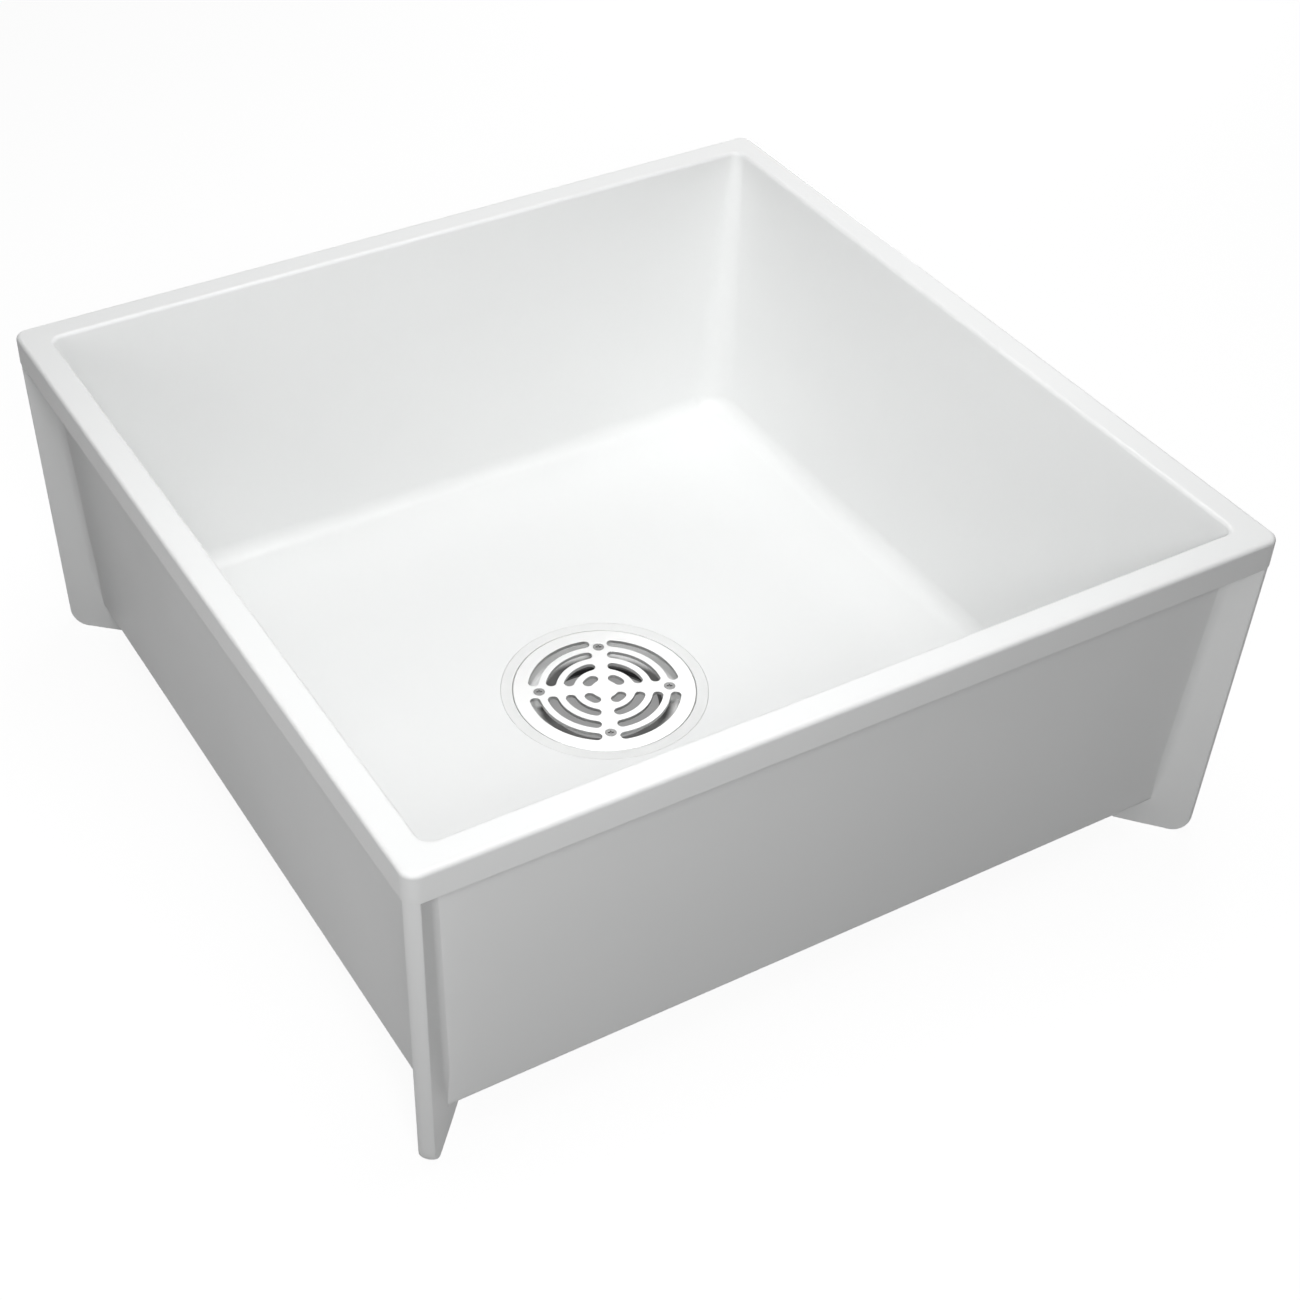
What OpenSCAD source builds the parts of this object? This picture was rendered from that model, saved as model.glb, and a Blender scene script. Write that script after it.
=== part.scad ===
// Floor-standing mop service sink: a one-piece square basin on four corner legs, with a
// flanged drain body clamped through its floor and a slotted strainer held by four screws.
// The origin is on the floor under the middle of the basin, +Z up, -Y to the front.

/* [Basin] */
// Overall width of the rim, left to right
basin_w = 609.6; // [500:0.1:920]
// Overall depth of the rim, front to back
basin_d = 609.6; // [500:0.1:920]
// Height of the rim top above the floor that the sink stands on
basin_h = 254; // [200:0.5:330]
// Width of the rim from its outer edge to the inside wall
rim_w = 20.8; // [19:0.1:45]
// Height of the fascia, the plain band round the outside of the rim
fascia_h = 21.6; // [12:0.1:40]
// Thickness of the rim top and of its turned-down lip
lip_t = 5.5; // [4:0.1:7]
// Radius of the rim's corners seen from above
rim_corner_r = 9.5; // [7:0.1:16]
// Radius of the rim's top edges
rim_edge_r = 3; // [1:0.1:4]
// Distance from the rim's outer edge back to the apron, just under the rim
apron_recess = 16.5; // [12:0.1:17]
// Lean of the apron from the vertical, in degrees
apron_lean = 2.4; // [0:0.1:4]
// Lean of the inside walls from the vertical, in degrees
wall_lean = 3.5; // [2:0.1:6]
// Radius of the inside corners at the rim
inner_corner_r = 8; // [5:0.5:20]
// Radius of the cove between the inside walls and the basin floor
cove_r = 14; // [8:0.5:30]
// Corner radius of the flat basin floor
floor_corner_r = 12; // [4:0.5:40]
// Depth of the basin floor's edge below the rim top
floor_depth = 222; // [150:0.5:224]
// Fall of the basin floor from its edge to the drain
floor_fall = 4; // [2:0.5:5]
// Thickness of the basin floor beside the drain
floor_t = 8; // [6:0.5:14]
// Radius of the bottom edge of the aprons
tub_edge_r = 6; // [2:0.5:8]

/* [Legs and ribs] */
// Thickness of a corner leg at its rounded tip
leg_tip_w = 12; // [9:0.1:16]
// Thickness of a corner leg at its inner end
leg_root_w = 8; // [7:0.1:11]
// Length of a corner leg along the diagonal
leg_len = 52; // [44:1:80]
// How far a leg's tip leans in from the rim's corner planes at the floor
leg_inset = 4; // [1:0.1:8]
// Thickness of the ribs under the basin floor
rib_t = 6; // [4:0.5:10]
// Inner radius of the round rib that clears the locknut
ring_rib_r = 96; // [90:1:120]

/* [Drain] */
// Width of the flange round the outside of the strainer
flange_w = 8; // [6:0.1:12]
// Thickness of the drain body's flange
flange_t = 6; // [5:0.1:7.5]
// Width of the ledge that the strainer's edge sits on
seat_w = 10.7; // [8:0.1:12]
// Thickness of the tail's wall round the cup under the strainer
cup_wall = 3; // [2.5:0.1:4]
// Depth of the cup below the strainer
cup_depth = 7.8; // [5:0.1:9]
// Outside diameter of the waste pipe that the gasket takes
pipe_d = 88.9; // [80:0.1:90]
// Radial clearance of the waste pipe in the relaxed gasket
pipe_clear = 0.25; // [0.1:0.05:0.4]
// Radius of the throat above the pipe, which stops the pipe
throat_r = 40; // [36:0.5:42]
// Radial thickness of the pipe gasket
gasket_t = 7; // [5:0.1:7.5]
// Height of the pipe gasket
gasket_h = 9.6; // [7:0.1:10]
// Thickness of the bedding seal under the flange
seal_t = 1.5; // [1:0.1:2.5]
// Thickness of the basin floor left under the flange recess
recess_floor_t = 6; // [4:0.1:7]
// Thickness of the rubber sealing washer under the floor
washer_t = 2; // [1.5:0.1:2.5]
// Thickness of the friction ring between the washer and the locknut
friction_t = 0.8; // [0.5:0.1:1]
// Height of the locknut
nut_h = 7.5; // [5:0.1:8]
// Width of the locknut's ring round the tail
nut_w = 9.7; // [7:0.1:12]
// How far the locknut's lugs stand out of its ring
nut_lug = 4; // [2:0.5:6]
// Number of lugs on the locknut
nut_lugs = 8; // [6:1:12]
// Width of a locknut lug
nut_lug_w = 12; // [8:0.5:16]

/* [Strainer] */
// Radius of the strainer plate
plate_r = 66.7; // [62:0.1:68]
// Thickness of the strainer plate
plate_t = 3; // [2.4:0.1:4]
// Edge radius of the strainer plate
plate_edge_r = 0.9; // [0.3:0.1:1.2]
// Mid radius of the innermost ring of slots
slot_first_r = 13.5; // [12:0.1:14]
// Number of rings of slots
slot_rings = 4; // [2:1:4]
// Width of a slot
slot_w = 7.9; // [5:0.1:8.4]
// Number of spokes, each with one screw
spokes = 4; // [4:1:4]
// Width of a spoke at the innermost ring
spoke_in_w = 7.2; // [5:0.1:8]
// Width of a spoke at the plate's rim
spoke_out_w = 15; // [12:0.1:17]
// Turn of the first spoke from +X, in degrees
spoke_turn = -25; // [-45:1:45]
// Distance of the screws' centres in from the wall of the cup
screw_inset = 8.5; // [7.5:0.1:10]
// Diameter of a screw's shank
screw_d = 4.2; // [3.5:0.1:4.5]
// Diameter of a screw's countersunk head
screw_head_d = 8.2; // [7:0.1:9]
// Length of a screw from the top of its head
screw_len = 11; // [9:0.1:12]
// Diameter of a screw boss in the drain body
boss_d = 11; // [9:0.1:12]

/* [Clearances] */
// Radial gap between the drain body and the basin's hole and recess
drain_clear = 0.6; // [0.3:0.1:1.2]
// Gap under and round the strainer plate in its seat
seat_gap = 0.3; // [0.2:0.05:0.5]
// Radial gap round a screw's shank
screw_clear = 0.3; // [0.2:0.05:0.5]
// Gap round a screw's countersunk head
head_gap = 0.2; // [0.1:0.05:0.3]
// Radial gap of the washers and the locknut round the tail
ring_clear = 0.3; // [0.1:0.05:0.5]
// Gap round the pipe gasket in its pocket
gasket_gap = 0.2; // [0.1:0.05:0.3]

/* [Hidden] */

cut = 1;                    // how far a cut runs past the face that it leaves
bite = 0.5;                 // how far joined solids run into each other
arc_fn = 96;                // smoothness of round parts
small_fn = 32;              // smoothness of screws, slot ends and small edges
corner_steps = 6;           // segments in a quarter turn of the hollow's corners
apron_steps = 8;            // segments in the rounded bottom edge of an apron
leg_set_back = 0.6;         // how far a leg's tip stays behind the rim's corner
seal_set_back = 1;          // how far the bedding seal stays inside the flange's edge
tail_below_nut = 2;         // length of tail that stands below the locknut
tail_lip_h = 2;             // lip of the tail that holds the gasket up
mouth_clear = 2;            // radial room round the pipe in the tail's mouth
drain_edge = 1.2;           // bevels of the drain body
nut_edge = 1;               // bevel of the locknut
screw_point_h = 1;          // length of a screw's point
cross_w = 1.1;              // width of the cross recess in a screw's head

// Heights above the floor that the sink stands on
fascia_z = basin_h - fascia_h;                  // bottom of the fascia
floor_edge_z = basin_h - floor_depth;           // edge of the basin floor
drain_z = floor_edge_z - floor_fall;            // basin floor at the drain, and flange top
under_z = drain_z - floor_t;                    // underside of the basin floor
flange_z = drain_z - flange_t;                  // underside of the flange
recess_z = flange_z - seal_t;                   // floor of the flange recess
boss_z = recess_z - recess_floor_t;             // underside of the boss round the drain
washer_z = boss_z - washer_t;
friction_z = washer_z - friction_t;
nut_z = friction_z - nut_h;
tail_z = nut_z - tail_below_nut;                // bottom of the tail
plate_z = drain_z - plate_t;                    // underside of the strainer
seat_z = plate_z - seat_gap;                    // seat of the strainer
cup_z = seat_z - cup_depth;                     // floor of the cup
gasket_z = tail_z + tail_lip_h + gasket_gap;    // bottom of the gasket
pocket_top_z = gasket_z + gasket_h + gasket_gap;

// Radii of the drain
seat_r = plate_r + seat_gap;
flange_r = seat_r + flange_w;
recess_r = flange_r + drain_clear;
boss_r = recess_r + recess_floor_t;
cup_r = plate_r - seat_w;
tail_r = cup_r + cup_wall;
hole_r = tail_r + drain_clear;
pipe_r = pipe_d / 2 + pipe_clear;
gasket_r = pipe_r + gasket_t;
pocket_r = gasket_r + gasket_gap;
tail_mouth_r = pipe_r + mouth_clear;            // mouth of the tail, clear of the pipe
ring_in_r = tail_r + ring_clear;                // bore of the washers and the locknut
nut_r = ring_in_r + nut_w;
screw_pitch_r = cup_r - screw_inset;
screw_tip_z = drain_z - screw_len;
head_h = (screw_head_d - screw_d) / 2;          // height of a screw's 45 degree head
// The outermost slots end over the wall of the cup, and the others lie evenly inside them
slot_step = (cup_r - slot_w / 2 - slot_first_r) / (slot_rings - 1);

// The hollow: half sizes at the rim, and the centre line of the cove
in_x = basin_w / 2 - rim_w;
in_y = basin_d / 2 - rim_w;
cove_z = floor_edge_z + cove_r;
wall_shift = (basin_h - cove_z) * tan(wall_lean) + cove_r / cos(wall_lean);

// One ring of points of a rounded rectangle, counter-clockwise from +X
function ring(half_x, half_y, r, z) = [
    for (k = [0:3], i = [0:corner_steps])
        let (a = 90 * (k + i / corner_steps))
        let (sx = (k == 0 || k == 3) ? 1 : -1)
        let (sy = (k < 2) ? 1 : -1)
        [sx * (half_x - r) + r * cos(a), sy * (half_y - r) + r * sin(a), z]
];

// A closed solid through a stack of rings, from the highest to the lowest
module loft(rings) {
    n = len(rings[0]);
    last = len(rings) - 1;
    sides = [
        for (j = [0:last - 1], i = [0:n - 1])
            let (a = j * n + i, b = j * n + (i + 1) % n)
            each [[a, b, a + n], [b, b + n, a + n]]
    ];
    top = [for (i = [n - 1:-1:0]) i];
    bottom = [for (i = [0:n - 1]) last * n + i];
    polyhedron(points = [for (one = rings) each one], faces = concat([top], sides, [bottom]));
}

// A plate with rounded corners, flat on z = 0
module rounded_plate(w, d, r, h) {
    linear_extrude(height = h) {
        square([w - 2 * r, d], center = true);
        square([w, d - 2 * r], center = true);
        for (sx = [-1, 1], sy = [-1, 1]) {
            translate([sx * (w / 2 - r), sy * (d / 2 - r)]) circle(r = r, $fn = arc_fn);
        }
    }
}

// The corner of a square with a quarter circle taken out of it
module edge_cutter_profile(r) {
    difference() {
        square([r + cut, r + cut]);
        circle(r = r, $fn = arc_fn);
    }
}

// Rounds the top edge of a rounded plate whose top is at z
module top_edge_cutter(w, d, corner_r, edge_r, z) {
    for (k = [0:3]) {
        across = (k % 2 == 0) ? w : d;
        along = (k % 2 == 0) ? d : w;
        rotate([0, 0, 90 * k]) translate([across / 2 - edge_r, 0, z - edge_r]) rotate([90, 0, 0])
            linear_extrude(height = along - 2 * corner_r, center = true) edge_cutter_profile(edge_r);
        rotate([0, 0, 90 * k]) translate([across / 2 - corner_r, along / 2 - corner_r, z - edge_r])
            rotate_extrude(angle = 90, $fn = arc_fn)
                translate([corner_r - edge_r, 0]) edge_cutter_profile(edge_r);
    }
}

// Rim with its turned-down lip
module rim() {
    difference() {
        translate([0, 0, fascia_z]) rounded_plate(basin_w, basin_d, rim_corner_r, fascia_h);
        translate([0, 0, fascia_z - cut])
            rounded_plate(basin_w - 2 * lip_t, basin_d - 2 * lip_t, rim_corner_r - lip_t,
                fascia_h - lip_t + cut);
        top_edge_cutter(basin_w, basin_d, rim_corner_r, rim_edge_r, basin_h);
    }
}

// Outline of the tub across one span: leaning aprons and a rounded bottom edge
module tub_profile(span) {
    top_half = span / 2 - apron_recess;
    top_z = basin_h - lip_t / 2;
    r = tub_edge_r;
    edge_x = top_half - (fascia_z - under_z - r) * tan(apron_lean) - r / cos(apron_lean);
    side = [
        for (i = [0:apron_steps])
            let (a = -90 + (90 - apron_lean) * i / apron_steps)
            [edge_x + r * cos(a), under_z + r + r * sin(a)]
    ];
    upper = [[top_half, fascia_z], [top_half, top_z]];
    half = concat(side, upper);
    mirrored = [for (i = [len(half) - 1:-1:0]) [-half[i][0], half[i][1]]];
    polygon(concat(half, mirrored));
}

// Outside of the tub, below and inside the rim
module tub() {
    intersection() {
        rotate([90, 0, 0]) linear_extrude(height = basin_d, center = true) tub_profile(basin_w);
        rotate([90, 0, 90]) linear_extrude(height = basin_w, center = true) tub_profile(basin_d);
    }
}

// Section of a leg: a rounded tip at +X, narrowing towards its inner end
module leg_section() {
    tip_x = sqrt(pow(rim_corner_r, 2) - pow(leg_tip_w / 2, 2));
    intersection() {
        circle(r = rim_corner_r, $fn = arc_fn);
        translate([tip_x - bite, -leg_tip_w / 2]) square([rim_corner_r, leg_tip_w]);
    }
    polygon([
        [tip_x, -leg_tip_w / 2], [tip_x, leg_tip_w / 2],
        [rim_corner_r - leg_len, leg_root_w / 2], [rim_corner_r - leg_len, -leg_root_w / 2]
    ]);
}

// Corner leg: a fin on the diagonal that leans in towards the floor
module leg() {
    top_z = basin_h - lip_t / 2;
    lean = atan(leg_inset * sqrt(2) / fascia_z);
    intersection() {
        translate([0, 0, fascia_z]) rotate([0, lean, 0])
            translate([-leg_set_back, 0, -fascia_z - leg_len])
                linear_extrude(height = fascia_z + 2 * leg_len) leg_section();
        translate([-2 * leg_len, -leg_tip_w, 0]) cube([3 * leg_len, 2 * leg_tip_w, top_z]);
    }
}

// Ribs under the basin floor: one ring round the drain and one rib to each leg
module ribs() {
    difference() {
        cylinder(r = ring_rib_r + rib_t, h = under_z + bite, $fn = arc_fn);
        translate([0, 0, -cut]) cylinder(r = ring_rib_r, h = under_z, $fn = arc_fn);
        cylinder(r = ring_rib_r, h = under_z - bite, $fn = arc_fn);
    }
    for (sx = [-1, 1], sy = [-1, 1]) {
        corner_x = basin_w / 2 - rim_corner_r;
        corner_y = basin_d / 2 - rim_corner_r;
        reach = norm([corner_x, corner_y]) - leg_len + rim_corner_r + rib_t;
        rotate([0, 0, atan2(sy * corner_y, sx * corner_x)])
            translate([ring_rib_r + bite, -rib_t / 2, 0])
                cube([reach - ring_rib_r, rib_t, under_z + bite]);
    }
}

// Inside of the basin: rounded rim edge, leaning walls, cove and a floor that falls to the drain
module hollow() {
    mouth = [
        for (a = [90:-30:0])
            let (out = rim_edge_r * (1 - cos(a)), up = rim_edge_r * (1 - sin(a)))
            ring(in_x + out, in_y + out, inner_corner_r + out, basin_h - up)
    ];
    cove = [
        for (i = [0:corner_steps])
            let (a = wall_lean + (90 - wall_lean) * i / corner_steps)
            let (out = cove_r * cos(a))
            ring(in_x - wall_shift + out, in_y - wall_shift + out, floor_corner_r + out,
                cove_z - cove_r * sin(a))
    ];
    lid = ring(in_x + rim_edge_r, in_y + rim_edge_r, inner_corner_r + rim_edge_r, basin_h + cut);
    sump = ring(recess_r, recess_r, recess_r - bite, drain_z);
    loft(concat([lid], mouth, cove, [sump]));
}

module basin() {
    color("white") difference() {
        union() {
            rim();
            tub();
            for (sx = [-1, 1], sy = [-1, 1]) {
                translate([sx * (basin_w / 2 - rim_corner_r), sy * (basin_d / 2 - rim_corner_r), 0])
                    rotate([0, 0, atan2(sy, sx)]) leg();
            }
            translate([0, 0, boss_z]) cylinder(r = boss_r, h = under_z - boss_z + bite, $fn = arc_fn);
            ribs();
        }
        hollow();
        translate([0, 0, recess_z]) cylinder(r = recess_r, h = floor_t + cut + flange_t, $fn = arc_fn);
        translate([0, 0, boss_z - cut])
            cylinder(r = hole_r, h = recess_floor_t + 2 * cut, $fn = arc_fn);
    }
}

// Drain body: flange, strainer seat, cup, threaded tail and a pocket for the pipe gasket
module drain_body() {
    color("whitesmoke") difference() {
        union() {
            rotate_extrude($fn = arc_fn) polygon([
                [tail_mouth_r, tail_z], [tail_r - drain_edge, tail_z], [tail_r, tail_z + drain_edge],
                [tail_r, flange_z], [flange_r, flange_z], [flange_r, drain_z - drain_edge],
                [flange_r - drain_edge, drain_z], [seat_r, drain_z], [seat_r, seat_z],
                [cup_r, seat_z], [cup_r, cup_z], [throat_r, cup_z - drain_edge],
                [throat_r, pocket_top_z], [pocket_r, pocket_top_z],
                [pocket_r, gasket_z - gasket_gap], [tail_mouth_r, gasket_z - gasket_gap]
            ]);
            for (i = [0:spokes - 1]) {
                rotate([0, 0, spoke_turn + i * 360 / spokes])
                    translate([screw_pitch_r, 0, cup_z - drain_edge]) {
                        cylinder(d = boss_d, h = cup_depth + drain_edge, $fn = small_fn);
                        translate([0, -boss_d / 4, 0])
                            cube([screw_inset + bite, boss_d / 2, cup_depth + drain_edge]);
                    }
            }
        }
        for (i = [0:spokes - 1]) {
            rotate([0, 0, spoke_turn + i * 360 / spokes])
                translate([screw_pitch_r, 0, screw_tip_z - screw_clear])
                    cylinder(d = screw_d + 2 * screw_clear, h = screw_len, $fn = small_fn);
        }
    }
}

// A flat ring from z up
module flat_ring(inner_r, outer_r, h, z) {
    translate([0, 0, z]) difference() {
        cylinder(r = outer_r, h = h, $fn = arc_fn);
        translate([0, 0, -cut]) cylinder(r = inner_r, h = h + 2 * cut, $fn = arc_fn);
    }
}

// Bedding seal between the flange and its recess
module flange_seal() {
    color("dimgray") flat_ring(hole_r, flange_r - seal_set_back, seal_t, recess_z);
}

// Rubber washer against the underside of the basin floor
module sealing_washer() {
    color("black") flat_ring(ring_in_r, nut_r + nut_lug, washer_t, washer_z);
}

// Friction ring that lets the locknut turn without dragging the rubber washer
module friction_ring() {
    color("burlywood") flat_ring(ring_in_r, nut_r + nut_lug, friction_t, friction_z);
}

// Locknut on the drain body's tail
module locknut() {
    color("whitesmoke") {
        translate([0, 0, nut_z]) rotate_extrude($fn = arc_fn) polygon([
            [ring_in_r, 0], [nut_r - nut_edge, 0], [nut_r, nut_edge], [nut_r, nut_h],
            [ring_in_r, nut_h]
        ]);
        for (i = [0:nut_lugs - 1]) {
            rotate([0, 0, i * 360 / nut_lugs]) translate([nut_r - nut_w / 2, -nut_lug_w / 2, nut_z])
                cube([nut_w / 2 + nut_lug, nut_lug_w, nut_h]);
        }
    }
}

// Push-on gasket that seals the drain body to the waste pipe
module pipe_gasket() {
    lead = 1.6;
    groove = 1.4;
    third = gasket_h / 3;
    color("black") translate([0, 0, gasket_z]) rotate_extrude($fn = arc_fn) polygon([
        [pipe_r + lead, 0], [gasket_r, 0], [gasket_r, third - groove / 2],
        [gasket_r - groove, third], [gasket_r, third + groove / 2],
        [gasket_r, 2 * third - groove / 2], [gasket_r - groove, 2 * third],
        [gasket_r, 2 * third + groove / 2], [gasket_r, gasket_h],
        [pipe_r, gasket_h], [pipe_r, lead]
    ]);
}

// One slot with round ends, centred on +X
module arc_slot(r, w, half_angle, h) {
    rotate([0, 0, -half_angle]) rotate_extrude(angle = 2 * half_angle, $fn = arc_fn)
        translate([r - w / 2, 0]) square([w, h]);
    for (side = [-1, 1]) {
        rotate([0, 0, side * half_angle]) translate([r, 0, 0]) cylinder(d = w, h = h, $fn = small_fn);
    }
}

// Strainer plate with rings of slots between its spokes
module strainer() {
    step = 360 / spokes;
    color("silver") difference() {
        translate([0, 0, plate_z]) rotate_extrude($fn = arc_fn) union() {
            square([plate_r - plate_edge_r, plate_t]);
            square([plate_r, plate_t - plate_edge_r]);
            translate([plate_r - plate_edge_r, plate_t - plate_edge_r])
                circle(r = plate_edge_r, $fn = small_fn);
        }
        for (i = [0:spokes - 1], k = [0:slot_rings - 1]) {
            r = slot_first_r + k * slot_step;
            outward = (r - slot_first_r) / (plate_r - slot_first_r);
            spoke_w = spoke_in_w + (spoke_out_w - spoke_in_w) * outward;
            half_angle = step / 2 - asin((spoke_w + slot_w) / 2 / r);
            rotate([0, 0, spoke_turn + (i + 0.5) * step]) translate([0, 0, plate_z - cut])
                arc_slot(r, slot_w, half_angle, plate_t + 2 * cut);
        }
        for (i = [0:spokes - 1]) {
            rotate([0, 0, spoke_turn + i * step]) translate([screw_pitch_r, 0, 0]) {
                translate([0, 0, plate_z - cut])
                    cylinder(d = screw_d + 2 * screw_clear, h = plate_t + 2 * cut, $fn = small_fn);
                translate([0, 0, drain_z - head_h - head_gap])
                    cylinder(r1 = screw_d / 2 + head_gap, r2 = screw_head_d / 2 + 2 * head_gap + cut,
                        h = head_h + head_gap + cut, $fn = small_fn);
            }
        }
    }
}

// One countersunk screw with a cross recess, its head's top at z = 0
module screw() {
    difference() {
        union() {
            translate([0, 0, -head_h])
                cylinder(d1 = screw_d, d2 = screw_head_d, h = head_h, $fn = small_fn);
            translate([0, 0, screw_point_h - screw_len])
                cylinder(d = screw_d, h = screw_len - screw_point_h, $fn = small_fn);
            translate([0, 0, -screw_len])
                cylinder(d1 = screw_d / 2, d2 = screw_d, h = screw_point_h, $fn = small_fn);
        }
        for (turn = [0, 90]) {
            rotate([0, 0, turn]) translate([-screw_d / 2, -cross_w / 2, -head_h / 2])
                cube([screw_d, cross_w, head_h]);
        }
    }
}

module strainer_screws() {
    color("silver") for (i = [0:spokes - 1]) {
        rotate([0, 0, spoke_turn + i * 360 / spokes]) translate([screw_pitch_r, 0, drain_z]) screw();
    }
}

basin();
drain_body();
flange_seal();
sealing_washer();
friction_ring();
locknut();
pipe_gasket();
strainer();
strainer_screws();
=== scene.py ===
import math

import bmesh
import bpy
from mathutils import Matrix, Vector


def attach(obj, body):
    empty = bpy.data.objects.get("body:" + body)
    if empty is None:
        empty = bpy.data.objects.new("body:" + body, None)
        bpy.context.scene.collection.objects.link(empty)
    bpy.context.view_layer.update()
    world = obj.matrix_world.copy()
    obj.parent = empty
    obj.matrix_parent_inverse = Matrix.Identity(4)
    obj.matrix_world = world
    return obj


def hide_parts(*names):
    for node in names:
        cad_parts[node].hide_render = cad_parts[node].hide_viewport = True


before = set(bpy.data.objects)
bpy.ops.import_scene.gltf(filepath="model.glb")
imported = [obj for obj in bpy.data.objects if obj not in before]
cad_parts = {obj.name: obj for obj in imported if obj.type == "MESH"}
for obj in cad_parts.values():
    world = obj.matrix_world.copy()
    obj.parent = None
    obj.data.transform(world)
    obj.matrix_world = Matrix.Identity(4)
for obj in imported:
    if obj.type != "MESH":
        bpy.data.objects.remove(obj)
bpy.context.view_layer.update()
print("stage: frame loaded,", len(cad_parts), "nodes")

mm = 0.001
mergeDistance = 1e-6  # metres; points nearer than this become one
straightHalf = 89.5  # degrees; half a corner's angle past which it counts as straight


class Wire:  # one socket of a node tree: maths on wires adds Math nodes, and node() adds any other node
    def __init__(self, tree, socket=None):
        self.tree = tree
        self.socket = socket

    def node(self, kind, settings=None, inputs=None, output=0):
        made = self.tree.nodes.new(kind)
        for name, value in (settings or {}).items():
            setattr(made, name, value)
        for key, value in (inputs or {}).items():
            for one in value if isinstance(value, list) else [value]:
                if isinstance(one, Wire):
                    self.tree.links.new(one.socket, made.inputs[key])
                else:
                    made.inputs[key].default_value = one
        return Wire(self.tree, made.outputs[output]) if made.outputs else None

    def maths(self, operation, *values):
        return self.node("ShaderNodeMath", {"operation": operation}, dict(enumerate(values)))

    def __add__(self, other):
        return self.maths("ADD", self, other)

    def __sub__(self, other):
        return self.maths("SUBTRACT", self, other)

    def __rsub__(self, other):
        return self.maths("SUBTRACT", other, self)

    def __mul__(self, other):
        return self.maths("MULTIPLY", self, other)

    def __truediv__(self, other):
        return self.maths("DIVIDE", self, other)

    def __rtruediv__(self, other):
        return self.maths("DIVIDE", other, self)

    __radd__ = __add__
    __rmul__ = __mul__


def addObject(name, mesh):
    made = bpy.data.objects.new(name, mesh)
    bpy.context.scene.collection.objects.link(made)
    return made


def applyModifiers(shape):  # keeps the mesh that the modifiers make, and takes them off
    bpy.context.view_layer.update()
    grabbed = shape.evaluated_get(bpy.context.evaluated_depsgraph_get())
    mesh = bpy.data.meshes.new_from_object(grabbed)
    shape.modifiers.clear()
    shape.data = mesh
    return shape


# Quads through rings of equally many points, given in millimetres; an open stack gets caps
def stackRings(name, rings, closed=True):
    count = len(rings[0])
    points = [tuple(v * mm for v in p) for ring in rings for p in ring]
    bands = len(rings) if closed else len(rings) - 1
    faces = []
    for j in range(bands):
        a, b = j * count, (j + 1) % len(rings) * count
        faces += [(a + i, a + (i + 1) % count, b + (i + 1) % count, b + i) for i in range(count)]
    if not closed:
        faces += [tuple(range(count)), tuple(range(bands * count, (bands + 1) * count))]
    mesh = bpy.data.meshes.new(name)
    mesh.from_pydata(points, [], faces)
    shell = bmesh.new()
    shell.from_mesh(mesh)
    bmesh.ops.remove_doubles(shell, verts=shell.verts, dist=mergeDistance)
    bmesh.ops.recalc_face_normals(shell, faces=shell.faces)
    shell.to_mesh(mesh)
    shell.free()
    return addObject(name, mesh)


def arcPoints(across, z, radius, start, end, steps):  # points of an arc in a section, its angles in degrees
    turns = [math.radians(start + (end - start) * i / steps) for i in range(steps + 1)]
    return [(across + radius * math.cos(a), z + radius * math.sin(a)) for a in turns]


def roundCorners(corners, steps=4):  # corners: (x, y, radius); each one becomes steps + 1 points of an arc
    outline = []
    for i, (x, y, radius) in enumerate(corners):
        here = Vector((x, y))
        back = (Vector(corners[i - 1][:2]) - here).normalized()
        ahead = (Vector(corners[(i + 1) % len(corners)][:2]) - here).normalized()
        half = back.angle(ahead) / 2
        if radius <= 0 or half > math.radians(straightHalf):
            outline += [here] * (steps + 1)
            continue
        centre = here + (back + ahead).normalized() * (radius / math.sin(half))
        start = here + back * (radius / math.tan(half)) - centre
        end = here + ahead * (radius / math.tan(half)) - centre
        sweep = math.atan2(start.x * end.y - start.y * end.x, start.dot(end))
        for k in range(steps + 1):
            outline.append(centre + Matrix.Rotation(sweep * k / steps, 2) @ start)
    return outline


def roundedSquare(half, radius, z, arcSteps, sideSteps):
    ring = []
    for k in range(4):
        turn = Matrix.Rotation(k * math.pi / 2, 3, "Z")
        for x, y in arcPoints(half - radius, half - radius, radius, 0, 90, arcSteps):
            ring.append(turn @ Vector((x, y, z)))
        for i in range(1, sideSteps):
            along = (half - radius) * (1 - 2 * i / sideSteps)
            ring.append(turn @ Vector((along, half, z)))
    return ring


def circleLike(ring, radius, z):  # a circle whose points lie in the directions of another ring's points
    return [Vector((p.x, p.y, 0)).normalized() * radius + Vector((0, 0, z)) for p in ring]


def lathe(name, profile, steps=128):  # profile: (radius, height) points of a closed section
    turns = [2 * math.pi * i / steps for i in range(steps)]
    return stackRings(name, [[(r * math.cos(a), r * math.sin(a), z) for a in turns] for r, z in profile])


def merge(shape, tools, operation):  # joins or cuts with closed tools, one after the other
    for tool in tools:
        step = shape.modifiers.new(tool.name, "BOOLEAN")
        step.operation = operation
        step.solver = "MANIFOLD"
        step.object = tool
    applyModifiers(shape)
    for tool in tools:
        bpy.data.objects.remove(tool)
    return shape


# Degrees; edges sharper than this stay crisp
sharpAngles = {"basin": 32, "strainer": 30, "screws": 30, "drain": 34, "nut": 34}


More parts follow.
